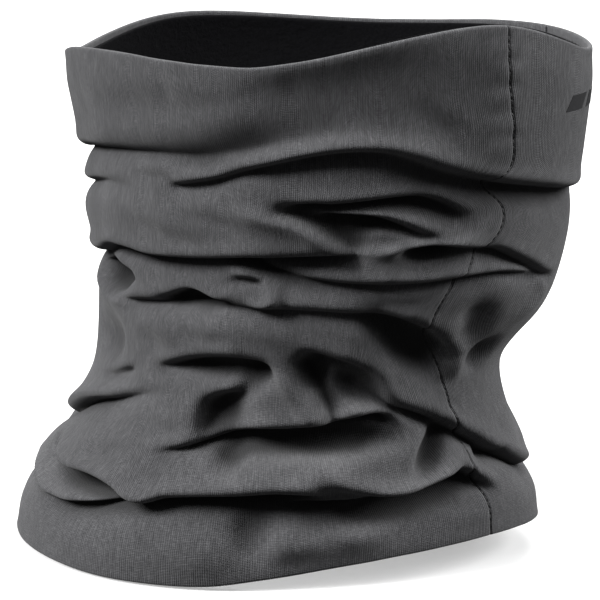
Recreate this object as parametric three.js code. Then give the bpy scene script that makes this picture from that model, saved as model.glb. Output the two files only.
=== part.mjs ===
// Neck gaiter: a two-layer tube of jersey for skiing, standing as it sits on a wearer.
//
// The outer cloth is two panels, a wide one round the back and a narrower one over the face, joined by a seam on
// each side. A brushed lining hangs inside them. Thread joins the layers round the top edge and the hem.
//
// Millimetres. +Z runs up the neck, +X points the way the wearer looks and +Y is the wearer's left.
// The origin is below the middle of the tube, on the level that its hem rests on.

import * as THREE from "three";
import { mergeVertices } from "three/addons/utils/BufferGeometryUtils.js";

// ---------------------------------------------------------------------------------------------------------------
// Driving dimensions
// ---------------------------------------------------------------------------------------------------------------

// Height of the rim at the middle of the front, over the bridge of the nose.
const tubeHeight = 187;

// The form of the outer face, as level sections from the hem up to that height. Each section is an oval.
//   height     level of the section
//   front      reach from the origin's axis to the front of the tube
//   back       reach from the origin's axis to the back of the tube
//   halfWidth  half of the tube's width, at its widest
//   widestAt   where along X the section is widest
//   taper      how far the front half narrows towards the face: 0 is a plain oval
const sections = [
  { name: "hem", height: 0, front: 97, back: 109.1, halfWidth: 80, widestAt: -27, taper: 0.25 },
  { name: "shoulder", height: 30, front: 88, back: 98, halfWidth: 76, widestAt: -20, taper: 0.2 },
  { name: "throat", height: 70, front: 75, back: 74, halfWidth: 63, widestAt: -4, taper: 0.08 },
  { name: "chin", height: 96, front: 94, back: 73, halfWidth: 64, widestAt: 4, taper: 0.12 },
  { name: "jaw", height: 134, front: 103, back: 77, halfWidth: 69, widestAt: 8, taper: 0.12 },
  { name: "rim", height: tubeHeight, front: 109.1, back: 87, halfWidth: 76, widestAt: 8, taper: 0.12 },
];

// How far the rim stands above tubeHeight, and the hem above the level it rests on, at angles round the tube.
// 0 degrees is the middle of the front, and the angles grow towards the wearer's left. The rim is pulled up on
// the right cheek and is low at the nape, and the hem is lifted off the chest at the front.
const rimRises = [
  [-180, -6], [-135, 2], [-95, 0], [-45, 14], [0, 0], [45, 3], [90, 0], [135, 3],
];
const hemRises = [
  [-180, 0], [-90, 0], [-55, 8], [-20, 12], [20, 9], [60, 2], [90, 0],
];

// Cloth
const outerThickness = 0.9;
const liningThickness = 1.2;
const layerGap = 0.55; // between outer cloth and lining, and between the lining and its label

// Seams
const frontSeamAtRim = 38; // degrees from the middle of the front, where a front seam meets the rim
const frontSeamAtHem = 28; // degrees, where it meets the hem
const seamThreadWidth = 0.9; // the column of stitches that shows between two panels
const stitchGap = 0.3; // clear space between a thread and the cloth that it joins
const liningSeamAngle = 180; // the lining's own seam is at the nape
const edgeThreadHeight = 1.2; // of the stitching round the rim and the hem
const edgeThreadInset = 0.5; // how far that stitching lies inside the edge
const stitchingBreak = 1.2; // degrees between the start and the end of the stitching round an edge

// Heat-pressed mark on the front panel: slanted bars in a row
const barCount = 3;
const barWidth = 11;
const barHeight = 5.5;
const barSpacing = 15;
const barSlant = 3; // how far a bar's top leans sideways
const barThickness = 0.3;
const barGap = 0.3; // clear space between the film and the cloth
const barsBelowRim = 15;

// Care label on the lining
const labelWidth = 24;
const labelHeight = 16;
const labelThickness = 0.4;
const labelAngle = 150; // degrees round the tube
const labelAboveHem = 12;

// How finely the surfaces are divided
const degreesPerStep = 6;
const rowsUpTube = 20;

// ---------------------------------------------------------------------------------------------------------------
// The form
// ---------------------------------------------------------------------------------------------------------------

const radians = THREE.MathUtils.degToRad;

// A smooth curve through knots [[at, value], ...], read at x. Between two knots it stays between their values,
// and past the first or the last knot it runs on straight.
function smoothThrough(knots, x) {
  const last = knots.length - 2;
  const within = THREE.MathUtils.clamp(x, knots[0][0], knots[last + 1][0]);
  let i = 0;
  while (i < last && within > knots[i + 1][0]) {
    i += 1;
  }
  const rise = (k) => (knots[k + 1][1] - knots[k][1]) / (knots[k + 1][0] - knots[k][0]);
  const slopeAt = (k) => {
    const before = rise(Math.max(k - 1, 0));
    const after = rise(Math.min(k, last));
    return before * after > 0 ? (2 * before * after) / (before + after) : 0;
  };
  const span = knots[i + 1][0] - knots[i][0];
  const t = (within - knots[i][0]) / span;
  const start = knots[i][1] * (2 * t ** 3 - 3 * t ** 2 + 1) + slopeAt(i) * span * (t ** 3 - 2 * t ** 2 + t);
  const end = knots[i + 1][1] * (3 * t ** 2 - 2 * t ** 3) + slopeAt(i + 1) * span * (t ** 3 - t ** 2);
  const runOn = slopeAt(x < within ? 0 : last + 1) * (x - within);
  return start + end + runOn;
}

// The same round a full turn: x is an angle in degrees and the knots' angles run from -180 upwards.
function smoothRound(knots, x) {
  const angle = THREE.MathUtils.euclideanModulo(x + 180, 360) - 180;
  const before = knots.map(([at, value]) => [at - 360, value]);
  const after = knots.map(([at, value]) => [at + 360, value]);
  return smoothThrough([...before, ...knots, ...after], angle);
}

const rimHeight = (angle) => tubeHeight + smoothRound(rimRises, angle);
const hemHeight = (angle) => smoothRound(hemRises, angle);

// The section at a height, each of its sizes read off a smooth curve through the sections.
function sectionAt(height) {
  const read = (key) => smoothThrough(sections.map((section) => [section.height, section[key]]), height);
  return {
    front: read("front"),
    back: read("back"),
    halfWidth: read("halfWidth"),
    widestAt: read("widestAt"),
    taper: read("taper"),
  };
}

// A point on the outer face of the outer cloth.
function faceAt(angle, height) {
  const { front, back, halfWidth, widestAt, taper } = sectionAt(height);
  const forward = Math.cos(radians(angle));
  const sideways = Math.sin(radians(angle));
  const reach = forward > 0 ? front - widestAt : back + widestAt;
  const narrowing = forward > 0 ? 1 - taper * forward ** 2 : 1;
  return new THREE.Vector2(widestAt + reach * forward, halfWidth * sideways * narrowing);
}

// The same point moved level into the cloth by depth, square to the section.
function pointAt(angle, height, depth) {
  const point = faceAt(angle, height);
  const along = faceAt(angle + 0.5, height).sub(faceAt(angle - 0.5, height)).normalize();
  return new THREE.Vector3(point.x - along.y * depth, point.y + along.x * depth, height);
}

// Degrees that a level distance in millimetres takes up at a place on the outer face.
function degreesFor(distance, angle, height) {
  return distance / faceAt(angle + 0.5, height).distanceTo(faceAt(angle - 0.5, height));
}

// Degrees from the middle of the front to a front seam, at a height.
function frontSeamAngle(height) {
  return THREE.MathUtils.lerp(frontSeamAtHem, frontSeamAtRim, height / tubeHeight);
}

// ---------------------------------------------------------------------------------------------------------------
// Pieces wrapped on the form
// ---------------------------------------------------------------------------------------------------------------

// A closed sheet on the form. A flat box, divided into steps and rows, has each corner of its grid moved to its
// place. from(height) and to(height) give the angles of the sheet's ends, bottom(angle) and top(angle) give the
// heights of its edges, and outer and inner are the depths of its two faces below the outer face of the cloth.
function wrappedSheet({ from, to, bottom, top, outer, inner, rows = rowsUpTube }) {
  const sweep = to(0) - from(0);
  const steps = Math.max(1, Math.round(sweep / degreesPerStep));
  const box = new THREE.BoxGeometry(1, 1, 1, steps, 1, rows);
  box.deleteAttribute("normal");
  box.deleteAttribute("uv");
  const sheet = mergeVertices(box);
  const corner = sheet.getAttribute("position");
  for (let i = 0; i < corner.count; i += 1) {
    const along = corner.getX(i) + 0.5;
    const across = corner.getY(i) + 0.5;
    const up = corner.getZ(i) + 0.5;
    const roughAngle = THREE.MathUtils.lerp(from(0), to(0), along);
    const roughHeight = THREE.MathUtils.lerp(bottom(roughAngle), top(roughAngle), up);
    const angle = THREE.MathUtils.lerp(from(roughHeight), to(roughHeight), along);
    const height = THREE.MathUtils.lerp(bottom(angle), top(angle), up);
    const depth = THREE.MathUtils.lerp(outer, inner, across);
    const place = pointAt(angle, height, depth);
    corner.setXYZ(i, place.x, place.y, place.z);
  }
  sheet.computeVertexNormals();
  return sheet;
}

const gaiter = new THREE.Group();

function addPiece(name, geometry, material) {
  const piece = new THREE.Mesh(geometry, material);
  piece.name = name;
  gaiter.add(piece);
}

const jersey = new THREE.MeshStandardMaterial({ color: "#58585a", roughness: 0.9, metalness: 0 });
const brushed = new THREE.MeshStandardMaterial({ color: "#0d0d0e", roughness: 1, metalness: 0 });
const thread = new THREE.MeshStandardMaterial({ color: "#151516", roughness: 0.7, metalness: 0 });
const film = new THREE.MeshStandardMaterial({ color: "#232325", roughness: 0.45, metalness: 0 });
const label = new THREE.MeshStandardMaterial({ color: "#1b1b1d", roughness: 0.8, metalness: 0 });

// The outer panels stop short of the seam's middle line by half of the thread and its clear space.
function seamClearance(height) {
  return degreesFor(seamThreadWidth / 2 + stitchGap, frontSeamAngle(height), height);
}

addPiece("main_panel", wrappedSheet({
  from: (height) => frontSeamAngle(height) + seamClearance(height),
  to: (height) => 360 - frontSeamAngle(height) - seamClearance(height),
  bottom: hemHeight,
  top: rimHeight,
  outer: 0,
  inner: outerThickness,
}), jersey);

addPiece("front_panel", wrappedSheet({
  from: (height) => seamClearance(height) - frontSeamAngle(height),
  to: (height) => frontSeamAngle(height) - seamClearance(height),
  bottom: hemHeight,
  top: rimHeight,
  outer: 0,
  inner: outerThickness,
}), jersey);

// A front seam's thread fills the space between the panels. side is -1 for the wearer's right and 1 for the left.
function frontSeamThread(side) {
  const halfThread = (height) => degreesFor(seamThreadWidth / 2, frontSeamAngle(height), height);
  return wrappedSheet({
    from: (height) => side * frontSeamAngle(height) - halfThread(height),
    to: (height) => side * frontSeamAngle(height) + halfThread(height),
    bottom: hemHeight,
    top: rimHeight,
    outer: 0,
    inner: outerThickness,
  });
}

addPiece("right_seam_thread", frontSeamThread(-1), thread);
addPiece("left_seam_thread", frontSeamThread(1), thread);

// The lining and the stitching round its edges lie one behind the other's edge, behind the outer cloth.
const liningOuter = outerThickness + layerGap;
const liningInner = liningOuter + liningThickness;
const liningInset = edgeThreadInset + edgeThreadHeight + stitchGap;
const liningBottom = (angle) => hemHeight(angle) + liningInset;
const liningTop = (angle) => rimHeight(angle) - liningInset;

function liningSeamDegrees(distance, height) {
  return degreesFor(distance, liningSeamAngle, height);
}

addPiece("lining", wrappedSheet({
  from: (height) => liningSeamAngle - 360 + liningSeamDegrees(seamThreadWidth / 2 + stitchGap, height),
  to: (height) => liningSeamAngle - liningSeamDegrees(seamThreadWidth / 2 + stitchGap, height),
  bottom: liningBottom,
  top: liningTop,
  outer: liningOuter,
  inner: liningInner,
}), brushed);

addPiece("lining_seam_thread", wrappedSheet({
  from: (height) => liningSeamAngle - liningSeamDegrees(seamThreadWidth / 2, height),
  to: (height) => liningSeamAngle + liningSeamDegrees(seamThreadWidth / 2, height),
  bottom: liningBottom,
  top: liningTop,
  outer: liningOuter,
  inner: liningInner,
}), thread);

// Stitching round an edge runs almost a full turn, from just past the lining's seam to just before it.
function edgeThread(bottom, top) {
  return wrappedSheet({
    from: () => liningSeamAngle - 360 + stitchingBreak / 2,
    to: () => liningSeamAngle - stitchingBreak / 2,
    bottom,
    top,
    outer: liningOuter,
    inner: liningInner,
    rows: 1,
  });
}

addPiece("top_edge_thread", edgeThread(
  (angle) => rimHeight(angle) - edgeThreadInset - edgeThreadHeight,
  (angle) => rimHeight(angle) - edgeThreadInset,
), thread);

addPiece("hem_thread", edgeThread(
  (angle) => hemHeight(angle) + edgeThreadInset,
  (angle) => hemHeight(angle) + edgeThreadInset + edgeThreadHeight,
), thread);

// A bar of the printed mark: a small sheet outside the cloth whose ends lean over by barSlant.
function printBar(number) {
  const middle = (number - (barCount - 1) / 2) * barSpacing;
  const base = rimHeight(0) - barsBelowRim;
  const lean = (height) => (barSlant * (height - base)) / barHeight;
  return wrappedSheet({
    from: (height) => degreesFor(middle - barWidth / 2 + lean(height), 0, base),
    to: (height) => degreesFor(middle + barWidth / 2 + lean(height), 0, base),
    bottom: () => base,
    top: () => base + barHeight,
    outer: -barGap - barThickness,
    inner: -barGap,
    rows: 1,
  });
}

for (let number = 0; number < barCount; number += 1) {
  addPiece(`print_bar_${number + 1}`, printBar(number), film);
}

// The care label lies on the lining's inner face.
const labelBottom = hemHeight(labelAngle) + labelAboveHem;
const labelHalfAngle = degreesFor(labelWidth / 2, labelAngle, labelBottom);

addPiece("care_label", wrappedSheet({
  from: () => labelAngle - labelHalfAngle,
  to: () => labelAngle + labelHalfAngle,
  bottom: () => labelBottom,
  top: () => labelBottom + labelHeight,
  outer: liningInner + layerGap,
  inner: liningInner + layerGap + labelThickness,
  rows: 2,
}), label);

export default gaiter;
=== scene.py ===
# %% [markdown]
# # A neck gaiter
#
# A neck gaiter is a tube of soft cloth that a skier pulls over nose, chin and neck. This one has two
# layers: an outer tube of grey jersey in two panels, and a black brushed lining. It is longer than the
# neck it sits on, so the cloth gathers into rolls and creases, and those folds are nearly all of its
# shape.

import math

import bpy
import numpy as np
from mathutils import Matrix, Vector
from mathutils.bvhtree import BVHTree


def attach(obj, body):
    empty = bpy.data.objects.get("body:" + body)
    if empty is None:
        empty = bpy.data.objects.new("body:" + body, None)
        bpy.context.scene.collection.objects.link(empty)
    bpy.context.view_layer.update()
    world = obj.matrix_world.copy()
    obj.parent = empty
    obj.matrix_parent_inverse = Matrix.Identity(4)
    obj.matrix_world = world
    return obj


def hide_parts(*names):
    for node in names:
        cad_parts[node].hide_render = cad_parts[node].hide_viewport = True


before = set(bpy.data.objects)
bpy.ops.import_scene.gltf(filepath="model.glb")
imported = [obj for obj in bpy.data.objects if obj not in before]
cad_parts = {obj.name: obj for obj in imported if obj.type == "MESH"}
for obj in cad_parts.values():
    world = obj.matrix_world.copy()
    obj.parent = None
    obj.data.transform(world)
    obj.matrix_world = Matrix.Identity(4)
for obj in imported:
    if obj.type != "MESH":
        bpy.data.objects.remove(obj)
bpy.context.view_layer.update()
MM = 0.001

# %% [markdown]
# ## Camera
#
# A long lens from about a metre keeps the tube's sides nearly parallel. The camera stands a little above
# the object, so the rim shows as a thin oval with the dark inside behind it.

# %% Camera
# degrees, then metres
CAMERA_AZIMUTH = 15
CAMERA_ELEVATION = 13
CAMERA_DISTANCE = 0.94
CAMERA_TARGET = Vector((0.0016, 0.0, 0.089))
LENS_MM = 151
SENSOR_MM = 36


def direction(azimuth, elevation):
    """The unit vector from the object towards a place seen at that azimuth and elevation, in degrees."""
    turn = math.radians(azimuth)
    rise = math.radians(elevation)
    return Vector((math.sin(turn) * math.cos(rise), -math.cos(turn) * math.cos(rise), math.sin(rise)))


def link(thing):
    """Put a new object into the scene."""
    bpy.context.scene.collection.objects.link(thing)
    return thing


camera = link(bpy.data.objects.new("camera", bpy.data.cameras.new("camera")))
camera.data.lens = LENS_MM
camera.data.sensor_width = SENSOR_MM
towards_camera = direction(CAMERA_AZIMUTH, CAMERA_ELEVATION)
camera.location = CAMERA_TARGET + towards_camera * CAMERA_DISTANCE
camera.rotation_mode = "QUATERNION"
camera.rotation_quaternion = (-towards_camera).to_track_quat("-Z", "Y")
bpy.context.scene.camera = camera
print("camera at, mm:", [round(c / MM) for c in camera.location])

# %% [markdown]
# ## The form under the folds
#
# Cloth is a sheet, so the plan is to describe the tube as a grid of points: columns run up the tube and
# rows run round it. The smooth form comes from the CAD panels. A ray is sent in from outside at each angle
# and height, and where it meets the panel is the form's radius there. Angles are in degrees from the
# middle of the front (+X), growing towards the wearer's left, and -180 is the nape.

# %% Find the panels' edges
OUTER_NODES = ["main_panel", "front_panel", "right_seam_thread", "left_seam_thread"]
# degrees from one measured direction to the next
ANGLE_STEP = 3
# mm from the axis where a ray starts, clear of the cloth
OUTSIDE = 200
# how often the range that holds an edge is halved, which finds it to a few hundredths of a mm
HALVINGS = 12
# heights in mm that are surely on the cloth, and surely beyond its rim or hem
IN_RIM = 150
OVER_RIM = 230
IN_HEM = 60
UNDER_HEM = -20


def bvh_of(names):
    """One search tree over several CAD nodes."""
    corners = []
    faces = []
    for name in names:
        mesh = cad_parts[name].data
        start = len(corners)
        corners.extend(vertex.co.copy() for vertex in mesh.vertices)
        faces.extend([start + index for index in face.vertices] for face in mesh.polygons)
    return BVHTree.FromPolygons(corners, faces)


outer_tree = bvh_of(OUTER_NODES)


def radius_at(angle, height):
    """The outer face's distance from the tube's axis in mm, or None above the rim or below the hem."""
    out = Vector((math.cos(math.radians(angle)), math.sin(math.radians(angle)), 0))
    start = out * OUTSIDE * MM + Vector((0, 0, height * MM))
    hit = outer_tree.ray_cast(start, -out, OUTSIDE * MM)[0]
    return None if hit is None else hit.dot(out) / MM


def edge_height(angle, inside, outside):
    """The height of the panel's edge, which lies between a height on the panel and one beyond it."""
    for _ in range(HALVINGS):
        middle = (inside + outside) / 2
        if radius_at(angle, middle) is None:
            outside = middle
        else:
            inside = middle
    return inside


def smoothed_round(values, passes=2):
    """values, softened round the tube so that the CAD's flat facets don't show."""
    for _ in range(passes):
        values = values * 0.5 + (np.roll(values, 1, axis=0) + np.roll(values, -1, axis=0)) * 0.25
    return values


angles = np.arange(-180, 180, ANGLE_STEP, dtype=float)
rim_heights = smoothed_round(np.array([edge_height(a, IN_RIM, OVER_RIM) for a in angles]))
hem_heights = smoothed_round(np.array([edge_height(a, IN_HEM, UNDER_HEM) for a in angles]))
print("rim, mm:", rim_heights.min().round(1), "to", rim_heights.max().round(1))
print("hem, mm:", hem_heights.min().round(1), "to", hem_heights.max().round(1))

# %% Measure the form
UP_STEPS = 60
UP_PASSES = 2
# the share of the height left out at either edge, where a ray might miss the cloth
EDGE_MARGIN = 0.01


def filled_round(values):
    """values, one for each angle, with any that are missing read off their neighbours."""
    known = ~np.isnan(values)
    return np.interp(angles, angles[known], values[known], period=360)


form_radius = np.zeros((len(angles), UP_STEPS + 1))
for row, share in enumerate(np.linspace(0, 1, UP_STEPS + 1)):
    inside_share = EDGE_MARGIN + (1 - 2 * EDGE_MARGIN) * share
    heights = hem_heights + (rim_heights - hem_heights) * inside_share
    found = [radius_at(a, h) for a, h in zip(angles, heights)]
    form_radius[:, row] = filled_round(np.array([np.nan if r is None else r for r in found]))
form_radius = smoothed_round(form_radius)
for _ in range(UP_PASSES):
    form_radius[:, 1:-1] = form_radius[:, 1:-1] / 2 + (form_radius[:, :-2] + form_radius[:, 2:]) / 4
print("radius, mm:", form_radius.min().round(1), "to", form_radius.max().round(1))


def read_round(values, angle):
    """values, one for each measured angle, read at any angles."""
    return np.interp(angle, angles, values, period=360)


def on_circle(radius, angle, height):
    """Points in mm at that distance from the axis, angle in degrees and height."""
    return np.stack([radius * np.cos(np.radians(angle)), radius * np.sin(np.radians(angle)), height], -1)


def form_at(angle, height):
    """Points on the smooth form in mm, for arrays of angles in degrees and heights in mm."""
    rim = read_round(rim_heights, angle)
    hem = read_round(hem_heights, angle)
    up = np.clip((height - hem) / (rim - hem), 0, 1) * UP_STEPS
    row = np.minimum(up.astype(int), UP_STEPS - 1)
    turn = np.mod(angle + 180, 360) / ANGLE_STEP
    column = turn.astype(int) % len(angles)
    after = (column + 1) % len(angles)
    low = form_radius[column, row] * (1 - turn % 1) + form_radius[after, row] * (turn % 1)
    high = form_radius[column, row + 1] * (1 - turn % 1) + form_radius[after, row + 1] * (turn % 1)
    return on_circle(low + (high - low) * (up - row), angle, height)


# %% [markdown]
# ## The seams' paths
#
# Two seams join the front panel to the main panel. On the table they would be straight, but the worn cloth
# shifts sideways as it gathers, so each seam wanders. Grid columns follow the seams exactly, and the
# columns near them bend along, so that the panels can be cut apart later without a jagged edge.

# %% Seam paths
# height in mm, angle in degrees
RIGHT_SEAM_PATH = [
    (0, -19), (18, -19), (28, -20), (40, -21.5), (55, -26), (68, -31), (78, -36), (86, -37), (94, -35),
    (102, -31.5), (110, -28), (118, -23.5), (125, -23), (134, -28), (141, -24), (150, -24), (165, -26),
    (182, -27.5), (200, -27),
]
LEFT_SEAM_PATH = [
    (0, 20), (30, 22), (55, 27), (75, 34), (90, 35), (105, 29), (122, 25), (150, 26), (200, 27),
]


def smooth_read(path, x):
    """A smooth curve through the (at, value) points of path, read at x."""
    at = np.array([p[0] for p in path], float)
    value = np.array([p[1] for p in path], float)
    slope = np.gradient(value, at)
    x = np.clip(x, at[0], at[-1])
    i = np.clip(np.searchsorted(at, x) - 1, 0, len(at) - 2)
    span = at[i + 1] - at[i]
    t = (x - at[i]) / span
    start = value[i] * (2 * t**3 - 3 * t**2 + 1) + slope[i] * span * (t**3 - 2 * t**2 + t)
    end = value[i + 1] * (3 * t**2 - 2 * t**3) + slope[i + 1] * span * (t**3 - t**2)
    return start + end


seam_sway = [max(angle for _, angle in path) - min(angle for _, angle in path)
             for path in (RIGHT_SEAM_PATH, LEFT_SEAM_PATH)]
print("the right and left seams sway by, degrees:", seam_sway)

# %% Grid of the cloth
COLUMNS = 288
DRAWN_ROWS = 400
RIGHT_SEAM_COLUMN = 118
LEFT_SEAM_COLUMN = 170
# how many columns beside each seam bend along with it
BENDING_COLUMNS = 48
# degrees from one column to the next where they don't bend
EVEN_TURN = 1.29
# mm, the cloth's rough height, which is enough to read a seam's path by
ROUGH_HEIGHT = 190


def column_angles(height):
    """The angle of every column at a height: an array of COLUMNS angles."""
    right_bend = RIGHT_SEAM_COLUMN - BENDING_COLUMNS
    left_bend = LEFT_SEAM_COLUMN + BENDING_COLUMNS
    known = [
        (0, -180),
        (right_bend, -180 + right_bend * EVEN_TURN),
        (RIGHT_SEAM_COLUMN, smooth_read(RIGHT_SEAM_PATH, height)),
        (LEFT_SEAM_COLUMN, smooth_read(LEFT_SEAM_PATH, height)),
        (left_bend, 180 - (COLUMNS - left_bend) * EVEN_TURN),
        (COLUMNS, 180),
    ]
    return np.interp(np.arange(COLUMNS), [column for column, _ in known], [angle for _, angle in known])


grid_angle = np.zeros((COLUMNS, DRAWN_ROWS + 1))
grid_height = np.zeros((COLUMNS, DRAWN_ROWS + 1))
for row, share in enumerate(np.linspace(0, 1, DRAWN_ROWS + 1)):
    turn = column_angles(share * ROUGH_HEIGHT)
    hem = read_round(hem_heights, turn)
    rim = read_round(rim_heights, turn)
    grid_angle[:, row] = turn
    grid_height[:, row] = hem + (rim - hem) * share
print("grid points:", grid_angle.size)

# %% [markdown]
# ## Folds
#
# A fold in worn cloth has a crease, a lip above it that sags over it, and a slope below it that rises out
# again. A cloth simulation of the whole tube gives many small wrinkles in place of the few long rolls that
# such a thick double cloth makes, so the folds are drawn one by one. Each is a short line on the form
# through a few points of (angle, height), and the grid moves near that line: into the tube at the crease,
# out at the lip, and over the crease where the lip hangs. The lip is above a line that is drawn towards
# growing angles, and below one that is drawn the other way.

# %% Distances on the cloth
# points on a drawn line, and how far in mm its effect reaches to each side
LINE_POINTS = 80
LINE_REACH = 40
FAR = 1e9

middle_radius = form_radius[:, UP_STEPS // 2]
middle_ring = on_circle(middle_radius, angles, np.zeros(len(angles)))
steps = np.linalg.norm(np.roll(middle_ring, -1, axis=0) - middle_ring, axis=1)
around_mm = np.concatenate([[0], np.cumsum(steps)])
GIRTH = around_mm[-1]
print("girth at half height, mm:", round(GIRTH))


def across(angle):
    """How far round the tube an angle lies, in mm from the nape. Angles beyond a full turn carry on."""
    angle = np.asarray(angle, float) + 180
    turns = np.floor(angle / 360)
    return turns * GIRTH + np.interp(angle - turns * 360, np.append(angles + 180, 360), around_mm)


grid_across = across(grid_angle)


def drawn_line(points):
    """A smooth line through given (angle, height) points, in mm round and mm up, evenly spaced."""
    corners = np.array([(across(a), h) for a, h in points], float)
    along = np.concatenate([[0], np.cumsum(np.linalg.norm(np.diff(corners, axis=0), axis=1))])
    even = np.linspace(0, along[-1], LINE_POINTS)
    return np.stack([smooth_read(list(zip(along, corners[:, k])), even) for k in (0, 1)], -1)


def near_line(line):
    """For every grid point: its distance to the line in mm, its side of the line (1 is the lip's side, -1
    the other), how far along the line it is from 0 to 1, and the line's direction there."""
    best = np.full(grid_across.shape, FAR)
    side = np.zeros_like(best)
    along = np.zeros_like(best)
    lean = np.zeros(grid_across.shape + (2,))
    tangent = np.gradient(line, axis=0)
    tangent /= np.linalg.norm(tangent, axis=1)[:, None]
    spacing = np.linalg.norm(line[1] - line[0])
    low = line.min(0) - LINE_REACH
    high = line.max(0) + LINE_REACH
    for lap in (-GIRTH, 0, GIRTH):
        inside = (grid_across + lap > low[0]) & (grid_across + lap < high[0])
        inside &= (grid_height > low[1]) & (grid_height < high[1])
        if not inside.any():
            continue
        places = np.stack([grid_across[inside] + lap, grid_height[inside]], -1)
        gaps = places[:, None, :] - line[None]
        nearest = np.linalg.norm(gaps, axis=2).argmin(1)
        gap = gaps[np.arange(len(nearest)), nearest]
        ahead = tangent[nearest]
        cross = ahead[:, 0] * gap[:, 1] - ahead[:, 1] * gap[:, 0]
        beyond = np.abs((ahead * gap).sum(1)) - spacing
        closest = np.hypot(cross, np.maximum(beyond, 0))
        better = closest < best[inside]
        share = nearest / (len(line) - 1)
        for target, value in ((best, closest), (side, np.sign(cross)), (along, share), (lean, ahead)):
            held = target[inside]
            held[better] = value[better]
            target[inside] = held
    return best, side, along, lean


# %% [markdown]
# Three strokes draw everything. A fold is a crease with its lip, a ridge is a raised line, and a hollow is
# a rounded dip. A stroke's size may change along its line, and it fades out at its two ends.

# %% Fold tools
# how the two slopes of a crease curve: steep under the lip, gentle on the side that rises out again
UPPER_SLOPE = 1.5
LOWER_SLOPE = 1.15
# where the lip swells out and how wide, as shares of the crease's upper width
SWELL_AT = 1.8
SWELL_WIDTH = 1.3
# the lip hangs over most at the crease's upper width from it, but no nearer than this, in mm
LEAST_HANG = 3
# how flat the bottom of a hollow is
HOLLOW_FLATNESS = 1.4
# the least span of a ramp, so that a ramp over nothing is a step
LEAST_SPAN = 1e-6

into_cloth = np.zeros_like(grid_angle)
slide_along = np.zeros_like(grid_angle)
slide_up = np.zeros_like(grid_angle)


def ramp(value, low, high):
    """0 below low, 1 above high and a smooth rise between."""
    t = np.clip((value - low) / max(high - low, LEAST_SPAN), 0, 1)
    return t * t * (3 - 2 * t)


def fade(along, ends):
    """1 in the middle of a line, fading to 0 over the given shares of its length at its two ends."""
    return ramp(along, 0, ends[0]) * ramp(1 - along, 0, ends[1])


def between(sizes, along):
    """A size that changes along a line through evenly spaced values, or one that stays the same."""
    sizes = sizes if isinstance(sizes, tuple) else (sizes, sizes)
    return np.interp(along, np.linspace(0, 1, len(sizes)), sizes)


def fold(points, depth=5, up=3, down=7, lip=1.2, sag=2.5, ends=(0.25, 0.25)):
    """A crease of that depth. up and down are the widths of its slopes on the lip's side and on the other,
    lip is how far the cloth swells out there, and sag is how far it hangs over the crease. All in mm."""
    distance, side, along, lean = near_line(drawn_line(points))
    weight = fade(along, ends)
    depth, up, down, lip, sag = (between(size, along) for size in (depth, up, down, lip, sag))
    above = side > 0
    upper = np.exp(-((distance / up) ** UPPER_SLOPE))
    lower = np.exp(-((distance / down) ** LOWER_SLOPE))
    swell = np.where(above, np.exp(-(((distance - SWELL_AT * up) / (SWELL_WIDTH * up)) ** 2)), 0)
    into_cloth[:] += weight * (depth * np.where(above, upper, lower) - lip * swell)
    reach = np.maximum(up, LEAST_HANG)
    hang = np.where(above, distance / reach * np.exp(1 - distance / reach), 0) * sag * weight
    slide_along[:] += hang * lean[..., 1]
    slide_up[:] -= hang * lean[..., 0]


def ridge(points, height=1.5, width=3, ends=(0.3, 0.3)):
    """A raised line of that height and width in mm."""
    distance, _, along, _ = near_line(drawn_line(points))
    height = between(height, along)
    width = between(width, along)
    into_cloth[:] -= height * fade(along, ends) * np.exp(-((distance / width) ** 2))


def hollow(centre, half_round, half_up, depth=3, tilt=0):
    """A dip of that depth in mm, half_round degrees and half_up mm to each side of its centre, tilted in
    degrees."""
    angle, height = centre
    half_round = (across(angle + half_round) - across(angle - half_round)) / 2
    offset = np.mod(grid_across - across(angle) + GIRTH / 2, GIRTH) - GIRTH / 2
    rise = grid_height - height
    turn = math.radians(tilt)
    first = (offset * math.cos(turn) + rise * math.sin(turn)) / half_round
    second = (rise * math.cos(turn) - offset * math.sin(turn)) / half_up
    into_cloth[:] += depth * np.exp(-((first**2 + second**2) ** HOLLOW_FLATNESS))


def tell_folds(part):
    """Print how deep and how high the folds are so far."""
    print(part, "- deepest crease, mm:", into_cloth.max().round(1), "highest roll, mm:",
          (-into_cloth).max().round(1))


# %% [markdown]
# ## Folds on the wearer's right
#
# The folds run more or less level, because the cloth slid down the neck. They are drawn from the rim down
# to the hem. Under the rim the cloth is drawn tight over cheek and chin, and it is smooth there but for a
# corner at the side, a soft valley and the long roll that hangs below it.

# %% Right side: the smooth band and the roll under it
# the smooth band is drawn tight between a soft corner at the side and the seam, and so is the hem
ridge([(-93, 205), (-93, 158)], height=1.6, width=9, ends=(0, 0.3))
ridge([(-27.5, 205), (-27, 150)], height=1.3, width=7, ends=(0, 0.3))
hollow((-60, 180), 27, 20, depth=3)
ridge([(-99, -5), (-98, 24)], height=2, width=9, ends=(0, 0.3))
hollow((-70, 12), 24, 12, depth=2.5)
# the soft valley and the overhang of the smooth band under the rim
fold([(-142, 169), (-120, 170), (-104, 171), (-92, 175), (-80, 181), (-70, 185), (-58, 190), (-40, 196)],
     depth=2.2, up=8, down=9, lip=0.4, sag=0)
fold([(-190, 146), (-168, 147), (-152, 150.5), (-138, 152), (-120, 153), (-107, 154), (-97, 155.5),
      (-88, 157.5), (-79, 160.5), (-68, 163.5), (-54, 167)],
     depth=(6, 6, 5.5, 6, 5), up=(2.5, 2.5, 6, 11), down=(4, 4, 3, 3), lip=(1, 1, 0.6, 0),
     sag=(2, 2, 1.2, 0), ends=(0.05, 0.3))
hollow((-99, 151.5), 12, 3, depth=2.5)
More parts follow.
